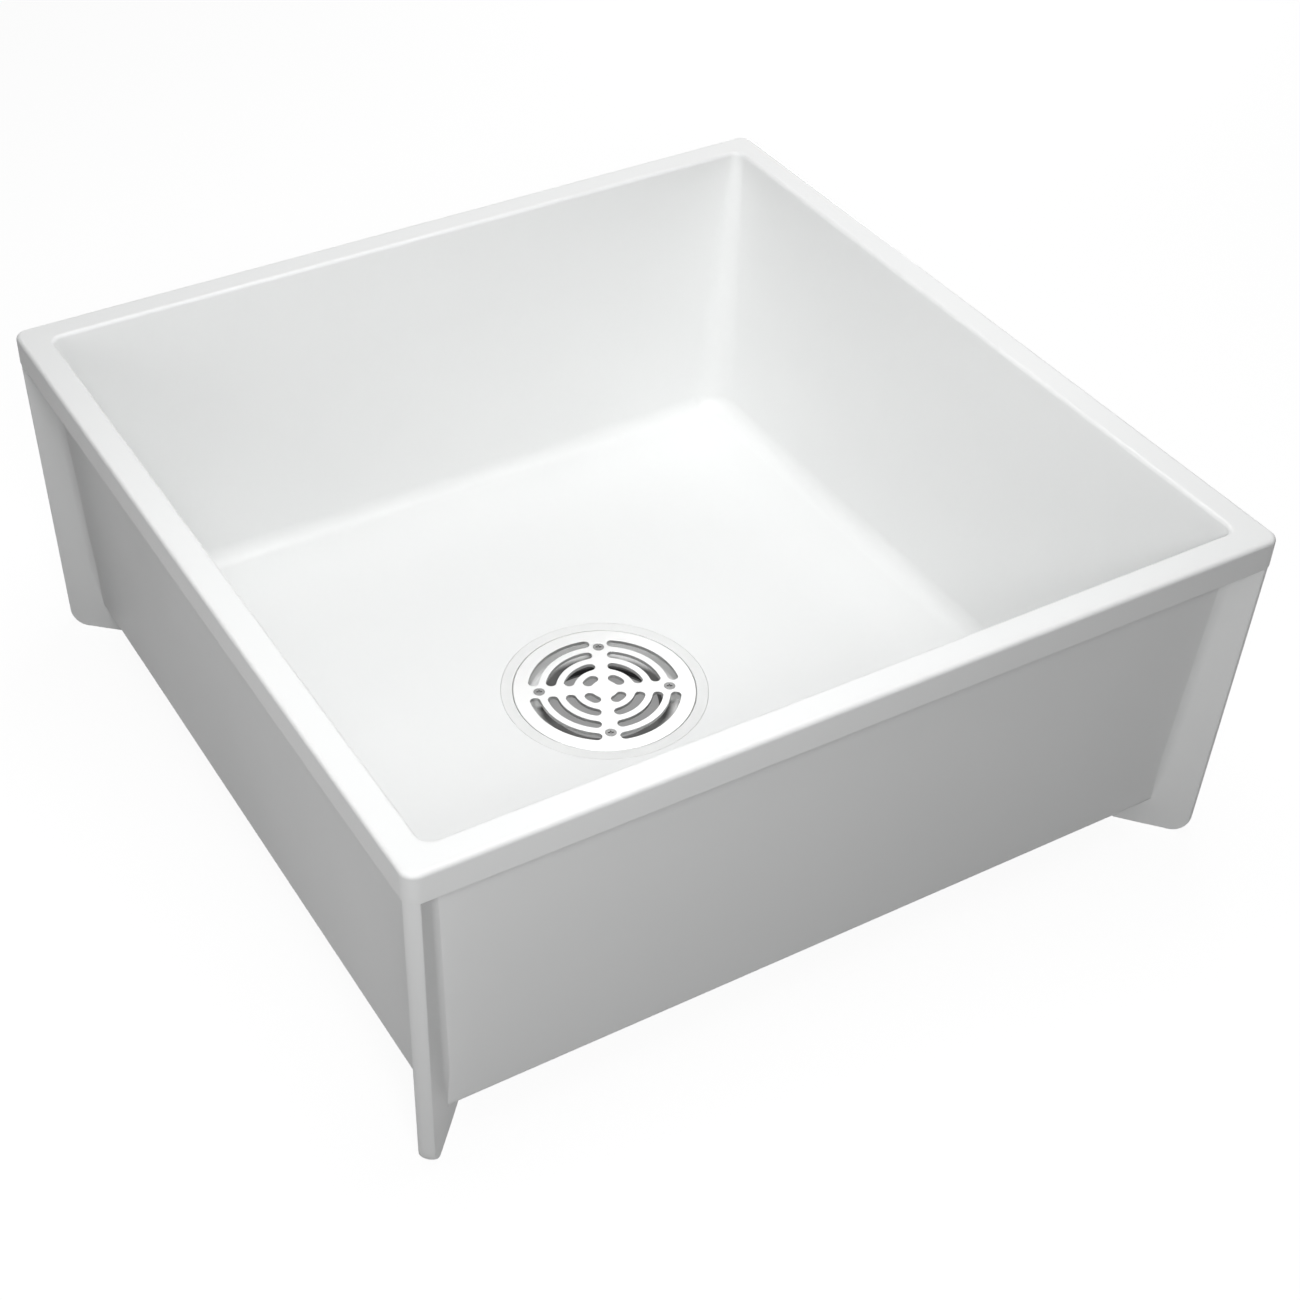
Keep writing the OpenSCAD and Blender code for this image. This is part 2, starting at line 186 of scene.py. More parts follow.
def smoothFaces(shape, sharpAngle):  # smooth curves, crisp edges, and flat faces that stay flat
    shape.data.polygons.foreach_set("use_smooth", [True] * len(shape.data.polygons))
    shape.data.set_sharp_from_angle(angle=math.radians(sharpAngle))
    weighted = shape.modifiers.new("weighted", "WEIGHTED_NORMAL")
    weighted.keep_sharp = True
    return applyModifiers(shape)


# A Geometry Nodes tree with an input for each size; a dictionary in the sizes is for the base's own shape
def growPiece(name, sizes, finish, rule, base=None):
    sizes = {label: value for label, value in sizes.items() if not isinstance(value, dict)}
    tree = bpy.data.node_groups.new(name + "Rule", "GeometryNodeTree")
    tree.interface.new_socket(name="Geometry", in_out="INPUT", socket_type="NodeSocketGeometry")
    tree.interface.new_socket(name="Geometry", in_out="OUTPUT", socket_type="NodeSocketGeometry")
    sockets = {}
    for label, value in sizes.items():
        kind = "NodeSocketInt" if isinstance(value, int) else "NodeSocketFloat"
        sockets[label] = tree.interface.new_socket(name=label, in_out="INPUT", socket_type=kind)
    graph = Wire(tree)
    given = graph.node("NodeGroupInput")
    sources = {socket.name: Wire(tree, socket) for socket in given.socket.node.outputs}
    shape = rule(graph, sources)
    shape = graph.node("GeometryNodeRealizeInstances", inputs={0: shape})
    shape = graph.node("GeometryNodeSetMaterial", inputs={0: shape, "Material": finish})
    graph.node("NodeGroupOutput", inputs={0: shape})
    made = base or addObject(name, bpy.data.meshes.new(name))
    step = made.modifiers.new(name, "NODES")
    step.node_group = tree
    for label, socket in sockets.items():
        step[socket.identifier] = sizes[label]
    return applyModifiers(made)


def vectorOf(graph, x, y, z):
    return graph.node("ShaderNodeCombineXYZ", inputs={0: x, 1: y, 2: z})


def splitVector(graph, vector):
    first = graph.node("ShaderNodeSeparateXYZ", inputs={0: vector})
    return [Wire(graph.tree, socket) for socket in first.socket.node.outputs]


def clamped(graph, value):
    return graph.maths("MINIMUM", graph.maths("MAXIMUM", value, 0.0), 1.0)


def movePoints(graph, shape, x, y, z):
    return graph.node("GeometryNodeSetPosition", inputs={0: shape, "Position": vectorOf(graph, x, y, z)})


def spinCopies(graph, shape, count, turn):  # copies of a shape round the Z axis, the first at turn radians
    points = graph.node("GeometryNodePoints", inputs={"Count": count})
    index = graph.node("GeometryNodeInputIndex")
    spin = vectorOf(graph, 0.0, 0.0, index * (2 * math.pi) / count + turn)
    rotation = graph.node("FunctionNodeEulerToRotation", inputs={0: spin})
    copies = graph.node(
        "GeometryNodeInstanceOnPoints", inputs={"Points": points, "Instance": shape, "Rotation": rotation})
    return graph.node("GeometryNodeRealizeInstances", inputs={0: copies})


def shiftShape(graph, shape, x, y, z):
    return graph.node("GeometryNodeTransform", inputs={0: shape, "Translation": vectorOf(graph, x, y, z)})


def tube(graph, around, levels):  # a cylinder whose rings lie 1 apart in height, for a rule to shape
    inputs = {"Vertices": around, "Side Segments": levels - 1, "Radius": 1.0, "Depth": float(levels - 1)}
    return graph.node("GeometryNodeMeshCylinder", {"fill_type": "NGON"}, inputs)


def block(graph, x, y, z):
    return graph.node("GeometryNodeMeshCube", inputs={"Size": vectorOf(graph, x, y, z)})


def combine(graph, operation, first, others):
    settings = {"operation": operation, "solver": "MANIFOLD"}
    if operation == "UNION":
        return graph.node("GeometryNodeMeshBoolean", settings, {1: [first] + others})
    return graph.node("GeometryNodeMeshBoolean", settings, {0: first, 1: others})


thread = {"steepness": 1.7, "rootShare": 0.35, "rowSpacing": 0.36}


def threadRise(graph, x, y, z, pitch):  # 0 in the root of a right-hand thread and 1 on its crest
    turns = z / pitch - graph.maths("ARCTAN2", y, x) / (2 * math.pi)
    wave = 1 - graph.maths("ABSOLUTE", graph.maths("FRACT", turns) * 2 - 1)
    return clamped(graph, wave * thread["steepness"] - thread["rootShare"])


# Finishes. Object coordinates are metres in the part's frame, so a scale of 1000 has features of about 1 mm.


def newFinish(name, build):
    material = bpy.data.materials.new(name)
    material.use_nodes = True
    material.node_tree.nodes.clear()
    graph = Wire(material.node_tree)
    place = graph.node("ShaderNodeTexCoord", output="Object")
    shader = build(graph, place)
    graph.node("ShaderNodeOutputMaterial", inputs={"Surface": shader})
    return material


def noise(graph, place, scale, detail=2.0, stretch=(1, 1, 1)):
    spread = graph.node("ShaderNodeMapping", inputs={"Vector": place, "Scale": stretch})
    inputs = {"Vector": spread, "Scale": scale, "Detail": detail}
    return graph.node("ShaderNodeTexNoise", {"noise_dimensions": "3D"}, inputs)


# Sockets 6 and 7 of a Mix node are the colours that it mixes, and output 2 is the mixed colour
def blendColours(graph, amount, first, second):
    inputs = {0: amount, 6: (*first, 1) if isinstance(first, tuple) else first, 7: (*second, 1)}
    return graph.node("ShaderNodeMix", {"data_type": "RGBA"}, inputs, output=2)


def bump(graph, height, distance):
    return graph.node("ShaderNodeBump", inputs={"Height": height, "Distance": distance, "Strength": 1.0})


def surface(graph, colour, rough, normal, metal=0.0):
    inputs = {"Base Color": colour, "Roughness": rough, "Normal": normal, "Metallic": metal}
    return graph.node("ShaderNodeBsdfPrincipled", inputs=inputs)


def roughAs(look, pattern):  # the dictionary's roughness is its least, and the pattern adds up to roughSpan
    return look["roughness"] + pattern * look["roughSpan"]


composite = {
    "light": (0.89, 0.895, 0.892), "shade": (0.865, 0.873, 0.871), "roughness": 0.34, "roughSpan": 0.12,
    "cloudScale": 9.0, "speckScale": 1500.0, "speckTint": 0.25, "rippleScale": 130.0, "bumpHeight": 0.00012,
    "rippleShare": 0.8, "speckShare": 0.06,
}


def compositeShader(graph, place):
    cloud = noise(graph, place, composite["cloudScale"], 3.0)
    speck = noise(graph, place, composite["speckScale"], 1.0)
    ripple = noise(graph, place, composite["rippleScale"], 1.0)
    colour = blendColours(graph, cloud, composite["light"], composite["shade"])
    colour = blendColours(graph, speck * composite["speckTint"], colour, composite["shade"])
    height = ripple * composite["rippleShare"] + speck * composite["speckShare"]
    return surface(graph, colour, roughAs(composite, cloud), bump(graph, height, composite["bumpHeight"]))


drainPlastic = {  # the ledge and the throat under the plate carry painted shade, a dark grey that fades outwards and upwards
    "light": (0.85, 0.855, 0.85), "shade": (0.81, 0.815, 0.81), "roughness": 0.34, "roughSpan": 0.1,
    "cloudScale": 40.0, "grainScale": 900.0, "grainHeight": 0.00004, "paintedShade": (0.09, 0.09, 0.088),
    "paintedShadeTop": 19.5 * mm, "paintedShadeRise": 2.5 * mm, "paintedShadeRadius": 52.5 * mm, "paintedShadeFade": 6.5 * mm,
    "paintedShadePatch": 6 * mm, "paintedShadeLeast": 0.8, "paintedShadeSpan": 0.3,
}


def drainPlasticShader(graph, place):
    look = drainPlastic
    cloud = noise(graph, place, look["cloudScale"], 3.0)
    grain = noise(graph, place, look["grainScale"], 2.0)
    x, y, z = splitVector(graph, place)
    out = graph.maths("SQRT", x * x + y * y)
    # painted shade: inside a radius and below a height, the colour darkens to a dark grey with a patchy edge,
    # on the ledge and throat under the plate
    edge = look["paintedShadeRadius"] + (cloud - 0.5) * look["paintedShadePatch"]
    paintedShade = clamped(graph, (edge - out) / look["paintedShadeFade"])
    paintedShade = paintedShade * clamped(graph, (look["paintedShadeTop"] - z) / look["paintedShadeRise"])
    colour = blendColours(graph, cloud, look["light"], look["shade"])
    colour = blendColours(graph, paintedShade * (look["paintedShadeLeast"] + cloud * look["paintedShadeSpan"]), colour, look["paintedShade"])
    return surface(graph, colour, roughAs(look, grain), bump(graph, grain, look["grainHeight"]))


plateSteel = {
    "light": (0.72, 0.72, 0.715), "shade": (0.67, 0.67, 0.67), "roughness": 0.35, "roughSpan": 0.14,
    "cloudScale": 30.0, "brushScale": 90.0, "brushStretch": (1, 22, 22), "brushHeight": 0.00003,
}


def plateSteelShader(graph, place):
    look = plateSteel
    brushed = noise(graph, place, look["brushScale"], 4.0, look["brushStretch"])
    cloud = noise(graph, place, look["cloudScale"], 2.0)
    colour = blendColours(graph, cloud, look["light"], look["shade"])
    return surface(graph, colour, roughAs(look, brushed), bump(graph, brushed, look["brushHeight"]), 1.0)


screwSteel = {
    "light": (0.3, 0.3, 0.295), "shade": (0.2, 0.2, 0.2), "roughness": 0.32, "roughSpan": 0.1,
    "cloudScale": 400.0, "cloudHeight": 0.00003,
}


def screwSteelShader(graph, place):
    look = screwSteel
    cloud = noise(graph, place, look["cloudScale"], 3.0)
    colour = blendColours(graph, cloud, look["light"], look["shade"])
    return surface(graph, colour, roughAs(look, cloud), bump(graph, cloud, look["cloudHeight"]), 1.0)


rubber = {
    "light": (0.035, 0.035, 0.036), "shade": (0.022, 0.022, 0.023), "roughness": 0.72, "roughSpan": 0.12,
    "cloudScale": 60.0, "grainScale": 1400.0, "grainHeight": 0.00005,
}


def rubberShader(graph, place):
    cloud = noise(graph, place, rubber["cloudScale"], 3.0)
    grain = noise(graph, place, rubber["grainScale"], 2.0)
    colour = blendColours(graph, cloud, rubber["light"], rubber["shade"])
    return surface(graph, colour, roughAs(rubber, grain), bump(graph, grain, rubber["grainHeight"]))


fibre = {
    "light": (0.5, 0.37, 0.23), "shade": (0.36, 0.25, 0.15), "roughness": 0.8, "strandScale": 260.0,
    "strandStretch": (1, 3, 1), "strandHeight": 0.0001,
}


def fibreShader(graph, place):
    strands = noise(graph, place, fibre["strandScale"], 5.0, fibre["strandStretch"])
    colour = blendColours(graph, strands, fibre["light"], fibre["shade"])
    return surface(graph, colour, fibre["roughness"], bump(graph, strands, fibre["strandHeight"]))


basinFinish = newFinish("basinComposite", compositeShader)
drainFinish = newFinish("drainPlastic", drainPlasticShader)
plateFinish = newFinish("plateSteel", plateSteelShader)
screwFinish = newFinish("screwSteel", screwSteelShader)
rubberFinish = newFinish("sealRubber", rubberShader)
fibreFinish = newFinish("ringFibre", fibreShader)
print("stage: finishes made")

# Every CAD node gets its finish. The hidden rings also keep their CAD shapes, and the other nodes are
# replaced further down.
for name, finish in {
    "basin": basinFinish, "drain_body": drainFinish, "flange_seal": rubberFinish,
    "sealing_washer": rubberFinish, "friction_ring": fibreFinish, "locknut": drainFinish,
    "pipe_gasket": rubberFinish, "strainer": plateFinish, "strainer_screws": screwFinish,
}.items():
    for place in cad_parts[name].material_slots:
        place.material = finish

# Basin: one closed skin of rounded squares and circles, from the drain hole up over the rim and back
# underneath. Lengths are millimetres, and leans are degrees.
basin = {
    "half": 304.8, "height": 254.0, "rimWidth": 20.8, "rimCorner": 9.5, "rimEdge": 3.0, "fascia": 21.6,
    "lip": 5.5, "lipEdge": 0.8, "lipCorner": 4.0, "slab": 5.5, "grooveOuter": 1.5, "grooveInner": 2.5,
    "apronRecess": 16.5, "apronCorner": 5.0, "leastCorner": 0.5, "apronLean": 2.4, "apronEdge": 6.0,
    "uprightTo": 2.0, "leansFrom": 1.0, "wallLean": 3.5, "innerCorner": 8.0, "floorCorner": 12.0,
    "cove": 14.0, "floorDepth": 222.0, "floorFall": 4.0, "creaseSharpness": 14, "recess": 75.5,
    "recessEdge": 0.2, "recessFloor": 20.5, "hole": 59.6, "holeEdge": 0.6, "underside": 20.0, "boss": 81.6,
    "bossFace": 14.5, "bossFillet": 2.0, "bossEdge": 0.8,
}
roundMiddle = 0.3  # share of a round's radius by which its middle lies off each of the two faces


def square(half, radius, z):
    return roundedSquare(half, radius, z, arcSteps=8, sideSteps=28)


guide = square(basin["half"], basin["rimCorner"], 0)
drainTop = basin["height"] - basin["floorDepth"] - basin["floorFall"]
fasciaFoot = basin["height"] - basin["fascia"]


def circles(*sizes):  # round rings from pairs of radius and height
    return [circleLike(guide, radius, z) for radius, z in sizes]


def wallHalf(z):
    top = basin["half"] - basin["rimWidth"]
    return top - (basin["height"] - z) * math.tan(math.radians(basin["wallLean"]))


def apronHalf(z):
    drop = max(fasciaFoot - z, 0)
    return basin["half"] - basin["apronRecess"] - drop * math.tan(math.radians(basin["apronLean"]))


def recessRings(b):  # the recess for the drain's flange
    edge = b["recessEdge"]
    middle = edge * roundMiddle
    return circles(
        (b["hole"], b["recessFloor"]), (b["recess"], b["recessFloor"]), (b["recess"], drainTop - edge),
        (b["recess"] + middle, drainTop - middle))


def floorRings(b, coveIn):  # the floor falls to the drain in four planes that meet at soft creases
    inner = circleLike(guide, b["recess"] + b["recessEdge"], drainTop)
    outer = square(coveIn, b["floorCorner"], drainTop + b["floorFall"])
    sharp, rows = b["creaseSharpness"], 14
    rings = []
    for k in range(rows + 1):
        ring = []
        for p, q in zip(inner, outer):
            s = p.lerp(q, k / rows)
            reach = (abs(s.x) ** sharp + abs(s.y) ** sharp) ** (1 / sharp)
            rise = min(max((reach - b["recess"]) / (coveIn - b["recess"]), 0), 1)
            ring.append(Vector((s.x, s.y, drainTop + b["floorFall"] * rise)))
        rings.append(ring)
    return rings


def wallRings(b, coveIn, coveMid):  # from the cove at the floor up to the rim's inner edge
    rings = []
    for across, z in arcPoints(coveIn, coveMid, b["cove"], -90, -b["wallLean"], 10)[1:]:
        rings.append(square(across, b["floorCorner"] + across - coveIn, z))
    coveCorner = b["floorCorner"] + b["cove"]
    edgeMid = b["height"] - b["rimEdge"]
    rows = 8
    for k in range(1, rows):
        z = coveMid + (edgeMid - coveMid) * k / rows
        rings.append(square(wallHalf(z), coveCorner + (b["innerCorner"] - coveCorner) * k / rows, z))
    edgeIn = wallHalf(edgeMid) + b["rimEdge"] / math.cos(math.radians(b["wallLean"]))
    for across, z in arcPoints(edgeIn, edgeMid, b["rimEdge"], 180 - b["wallLean"], 90, 6):
        rings.append(square(across, b["innerCorner"] + across - wallHalf(edgeMid), z))
    return rings


def fasciaRings(b):  # over the rim's outer edge, down the fascia and round its lip
    half, edge, e = b["half"], b["rimEdge"], b["lipEdge"]
    section = arcPoints(half - edge, b["height"] - edge, edge, 90, 0, 6)
    section += arcPoints(half - e, fasciaFoot + e, e, 0, -90, 3)
    section += arcPoints(half - b["lip"] + e, fasciaFoot + e, e, -90, -180, 3)
    return [square(across, max(b["rimCorner"] - half + across, b["lipCorner"]), z) for across, z in section]


def apronRings(b):  # up into the groove behind the fascia, down the apron and round its lower edge
    groove = b["height"] - b["slab"]
    outer, inner = b["grooveOuter"], b["grooveInner"]
    section = arcPoints(b["half"] - b["lip"] - outer, groove - outer, outer, 0, 90, 3)
    section += arcPoints(apronHalf(groove) + inner, groove - inner, inner, 90, 180, 4)
    section.append((apronHalf(groove), fasciaFoot + b["uprightTo"]))
    edge, lean, top = b["apronEdge"], b["apronLean"], fasciaFoot - b["leansFrom"]
    edgeUp = b["underside"] + edge
    rows = 6
    for k in range(rows + 1):
        z = top + (edgeUp - top) * k / rows
        section.append((apronHalf(z), z))
    edgeIn = apronHalf(edgeUp) - edge / math.cos(math.radians(lean))
    section += arcPoints(edgeIn, edgeUp, edge, -lean, -90, 6)[1:]
    rings = []
    for across, z in section:
        radius = b["apronCorner"] if z > edgeUp else b["apronCorner"] - apronHalf(edgeUp) + across
        rings.append(square(across, max(radius, b["leastCorner"]), z))
    return rings


def bossRings(b):  # the boss under the floor that the washers press on
    fillet, edge, holeEdge = b["bossFillet"], b["bossEdge"], b["holeEdge"]
    middle = fillet * roundMiddle
    return circles(
        (b["boss"] + fillet, b["underside"]), (b["boss"] + middle, b["underside"] - middle),
        (b["boss"], b["underside"] - fillet), (b["boss"], b["bossFace"] + edge),
        (b["boss"] - edge, b["bossFace"]), (b["hole"] + holeEdge, b["bossFace"]),
        (b["hole"], b["bossFace"] + holeEdge))


def basinSkin(b):
    coveMid = drainTop + b["floorFall"] + b["cove"]
    coveIn = wallHalf(coveMid) - b["cove"] / math.cos(math.radians(b["wallLean"]))
    rings = recessRings(b) + floorRings(b, coveIn) + wallRings(b, coveIn, coveMid)
    return stackRings("basinMoulding", rings + fasciaRings(b) + apronRings(b) + bossRings(b))


# Legs: a fin on each diagonal, lofted from sections that run outwards (u) and across (v) from the rim's
# corner. A leg's inner end is sunk into the apron, and runs on under the floor.
leg = {
    "tip": 11.0, "root": 7.0, "length": 52.0, "inset": 4.0, "setBack": 0.6, "tipEdge": 1.2, "tipBow": 0.79,
    "footEdge": 0.9, "footBow": 0.29, "toe": 12.0, "fillet": 14.0, "filletFrom": 23.0, "filletTo": 55.0,
    "pastFillet": 3.0, "buried": 0.6, "sunk": 5.0, "innerEnd": 0.5, "overFloor": 0.5, "belowRim": 3.0,
    "toeLevels": (2, 3.5, 5.5, 8, 11, 14), "flankLevels": (24, 27, 31, 38, 46, 55, 120),
}


def legOutline(z, trim):  # trim: how far the foot's rounding takes the outline in
    corner = basin["rimCorner"]
    shift = leg["setBack"] + max(fasciaFoot - z, 0) * leg["inset"] * math.sqrt(2) / fasciaFoot
    tipHalf, rootHalf = leg["tip"] / 2, leg["root"] / 2
    tipU = math.sqrt(corner ** 2 - tipHalf ** 2)
    rootU = corner - leg["length"]
    slope = (tipHalf - rootHalf) / (tipU - rootU)

    def flank(u):  # half the leg's thickness at u
        return rootHalf - trim + (u + shift - rootU) * slope

    apronU = (apronHalf(z) - basin["half"] + corner) * math.sqrt(2)
    meet = (apronU - flank(0)) / (1 + slope)
    ramp = (z - leg["filletFrom"]) / (leg["filletTo"] - leg["filletFrom"])
    fillet = leg["fillet"] * min(max(ramp, 0), 1)
    if z <= basin["underside"] + leg["overFloor"]:
        ends = [(rootU - shift + trim, leg["innerEnd"]), (rootU - shift + trim, flank(rootU - shift))]
    else:
        along = fillet * math.tan(math.radians(22.5)) + leg["pastFillet"]
        inward, sideways = (along + leg["buried"]) / math.sqrt(2), (along - leg["buried"]) / math.sqrt(2)
        ends = [(apronU - leg["sunk"], leg["innerEnd"]), (meet - inward, flank(meet) + sideways)]
    toeIn = leg["toe"] - math.sqrt(leg["toe"] ** 2 - max(leg["toe"] - z, 0) ** 2)
    shift += trim + toeIn
    bend = corner * math.tan(math.asin(tipHalf / corner) / 2)
    side = ends + [(meet, flank(meet)), (tipU - shift, tipHalf - trim), (corner - shift, bend)]
    radii = [0, 0, fillet, leg["tipEdge"], corner * leg["tipBow"]]
    upper = [(u, v, r) for (u, v), r in zip(side, radii)]
    return roundCorners([(u, -v, r) for u, v, r in upper] + upper[::-1], 6)


def cornerLegs():
    e = leg["footEdge"]
    bow = e * leg["footBow"]
    levels = leg["toeLevels"] + (basin["underside"] + leg["overFloor"],) + leg["flankLevels"]
    levels += (fasciaFoot, basin["height"] - leg["belowRim"])
    heights = [(0, e), (bow, bow), (e, 0)] + [(z, 0) for z in levels]
    centre = Vector((basin["half"] - basin["rimCorner"],) * 2)
    legs = []
    for k in range(4):
        turn = Matrix.Rotation(k * math.pi / 2, 2)
        rings = []
        for z, trim in heights:
            outline = [turn @ (centre + Matrix.Rotation(math.pi / 4, 2) @ p) for p in legOutline(z, trim)]
            rings.append([(p.x, p.y, z) for p in outline])
        legs.append(stackRings("leg%d" % k, rings, closed=False))
    return legs


# Ribs under the floor: a ring that clears the locknut, and one rib from the ring to each leg
ribs = {
    "thickness": 6 * mm, "ringRadius": 96 * mm, "reach": 381 * mm, "top": 20.7 * mm, "edge": 0.8 * mm,
    "count": 4,
}


def ribRule(graph, s):
    cube = graph.node("GeometryNodeMeshCube", inputs={"Vertices Z": 3})
    x, y, z = splitVector(graph, graph.node("GeometryNodeInputPosition"))
    level = z + 0.5
    low = clamped(graph, 1 - level * 2)
    start = s["ringRadius"] + s["thickness"] / 2
    along = start + (x + 0.5) * (s["reach"] - start)
    across = graph.maths("SIGN", y) * (s["thickness"] / 2 - s["edge"] * low)
    up = s["edge"] * clamped(graph, level * 2) + clamped(graph, level * 2 - 1) * (s["top"] - s["edge"])
    rib = movePoints(graph, cube, along, across, up)
    return spinCopies(graph, rib, s["count"], math.pi / 4)


def ringRib():
    inside, width, top, e = (ribs[key] / mm for key in ("ringRadius", "thickness", "top", "edge"))
    outside = inside + width
    section = [(inside, top), (inside, e), (inside + e, 0), (outside - e, 0), (outside, e), (outside, top)]
    return lathe("ringRib", section)


floorRibs = growPiece("floorRibs", ribs, basinFinish, ribRule)
basinMoulding = merge(basinSkin(basin), cornerLegs() + [floorRibs, ringRib()], "UNION")
basinMoulding.data.materials.clear()
basinMoulding.data.materials.append(basinFinish)
smoothFaces(basinMoulding, sharpAngles["basin"])
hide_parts("basin")
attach(basinMoulding, "sink")
print("stage: basin made,", len(basinMoulding.data.polygons), "faces")

# Strainer: a round plate with rings of curved slots between four spokes, and a countersunk hole in each spoke
strainer = {
    "plateRadius": 66.7 * mm, "top": 28.0 * mm, "thickness": 3.0 * mm, "plateEdge": 0.9 * mm,
    "lowerEdge": 0.3 * mm, "slotRings": 4, "spokes": 4, "firstSlot": 13.5 * mm, "slotStep": 12.85 * mm,
    "slotWidth": 7.5 * mm, "slotEdge": 0.35 * mm, "spokeInside": 7.4 * mm, "spokeOutside": 15.2 * mm,
    "spokeTurn": math.radians(-25), "screwRadius": 47.5 * mm, "screwHole": 2.4 * mm, "sinkRadius": 4.3 * mm,
    "sinkDepth": 2.2 * mm,
}


def plateShape(graph, s):  # levels 0 and 1 are the lower edge, and the others bend round the upper edge
    around, levels = 192, 11
    x, y, z = splitVector(graph, graph.node("GeometryNodeInputPosition"))
    level = z + (levels - 1) / 2
    bend = clamped(graph, (level - 2) / (levels - 3)) * (math.pi / 2)
    radius = s["plateRadius"] - s["plateEdge"] * (1 - graph.maths("COSINE", bend))
    radius = radius - s["lowerEdge"] * clamped(graph, 1 - level)
    up = s["top"] - s["thickness"] + s["lowerEdge"] * clamped(graph, level)
    up = up + clamped(graph, level - 1) * (s["thickness"] - s["plateEdge"] - s["lowerEdge"])
    up = up + s["plateEdge"] * graph.maths("SINE", bend)
    return movePoints(graph, tube(graph, around, levels), x * radius, y * radius, up)


def slotCutters(graph, s):  # every slot is a tube bent along its ring, with round ends and softened edges
    ends, sides, rows = 10, 14, 3
    around, levels = 2 * (ends + sides), 2 * (rows + 2)
    points = graph.node("GeometryNodePoints", inputs={"Count": s["slotRings"] * s["spokes"]})
    cutters = graph.node(
        "GeometryNodeInstanceOnPoints", inputs={"Points": points, "Instance": tube(graph, around, levels)})
    cutters = graph.node("GeometryNodeRealizeInstances", inputs={0: cutters})
    x, y, z = splitVector(graph, graph.node("GeometryNodeInputPosition"))
    which = graph.maths("FLOOR", graph.node("GeometryNodeInputIndex") / (around * levels))
    ring = graph.maths("FLOOR", which / s["spokes"])
    gap = which - ring * s["spokes"]
    radius = s["firstSlot"] + ring * s["slotStep"]
    outward = (radius - s["firstSlot"]) / (s["plateRadius"] - s["firstSlot"])
    spoke = s["spokeInside"] + (s["spokeOutside"] - s["spokeInside"]) * outward
    halfTurn = math.pi / s["spokes"] - graph.maths("ARCSINE", (spoke + s["slotWidth"]) / 2 / radius)
    way = graph.maths("FRACT", graph.maths("ARCTAN2", y, x) / (2 * math.pi) + 1) * 2
    side = 1 - graph.maths("FLOOR", way) * 2
    step = graph.maths("FRACT", way) * (ends + sides)
    bend = (clamped(graph, step / ends) - 0.5) * math.pi
    along = clamped(graph, (step - ends) / sides)
    high = graph.maths("ABSOLUTE", z)
    flare = clamped(graph, (high - 0.5) / rows) * (math.pi / 2)
    wide = s["slotWidth"] / 2 + s["slotEdge"] * (1 - graph.maths("COSINE", flare))
    out = radius - side * wide * graph.maths("SINE", bend)
    across = side * wide * graph.maths("COSINE", bend)
    turn = s["spokeTurn"] + (gap + 0.5) * (2 * math.pi) / s["spokes"] + side * halfTurn * (1 - along * 2)
    cos, sin = graph.maths("COSINE", turn), graph.maths("SINE", turn)
    lift = s["thickness"] / 2 - s["slotEdge"] * (1 - graph.maths("SINE", flare))
    lift = lift + graph.maths("MAXIMUM", high - 0.5 - rows, 0.0) * mm
    up = s["top"] - s["thickness"] / 2 + graph.maths("SIGN", z) * lift
    return movePoints(graph, cutters, out * cos - across * sin, out * sin + across * cos, up)


def sinkCutters(graph, s):  # a screw hole with its countersink, which goes on widening above the plate
    around, levels = 40, 4
    x, y, z = splitVector(graph, graph.node("GeometryNodeInputPosition"))
    level = z + (levels - 1) / 2
    above = graph.maths("MAXIMUM", level - 2, 0.0) * mm
    radius = s["screwHole"] + (s["sinkRadius"] - s["screwHole"]) * clamped(graph, level - 1) + above
    foot = s["top"] - s["thickness"] - mm
    up = foot + clamped(graph, level) * (s["top"] - s["sinkDepth"] - foot)
    up = up + clamped(graph, level - 1) * s["sinkDepth"] + above
    cutter = movePoints(graph, tube(graph, around, levels), x * radius, y * radius, up)
    cutter = shiftShape(graph, cutter, s["screwRadius"], 0.0, 0.0)
    return spinCopies(graph, cutter, s["spokes"], s["spokeTurn"])


def strainerRule(graph, s):
    return combine(graph, "DIFFERENCE", plateShape(graph, s), [slotCutters(graph, s), sinkCutters(graph, s)])


strainerPlate = growPiece("strainerPlate", strainer, plateFinish, strainerRule)
smoothFaces(strainerPlate, sharpAngles["strainer"])
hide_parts("strainer")
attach(strainerPlate, "strainer_plate")
print("stage: strainer made,", len(strainerPlate.data.polygons), "faces")

# Screws: countersunk heads with a cross recess, and a thread down the shank
screws = {
    "count": 4, "turn": math.radians(-25), "pitchRadius": 47.5 * mm, "top": 28.0 * mm, "length": 11.0 * mm,
    "headRadius": 4.1 * mm, "headHeight": 2.0 * mm, "headEdge": 0.12 * mm, "rootRadius": 1.6 * mm,
    "threadDepth": 0.5 * mm, "threadPitch": 0.9 * mm, "threadOnset": 12.0, "point": 1.0 * mm,
    "pointTaper": 0.6, "crossLength": 4.2 * mm, "crossWidth": 1.1 * mm, "crossDepth": 1.0 * mm,
}


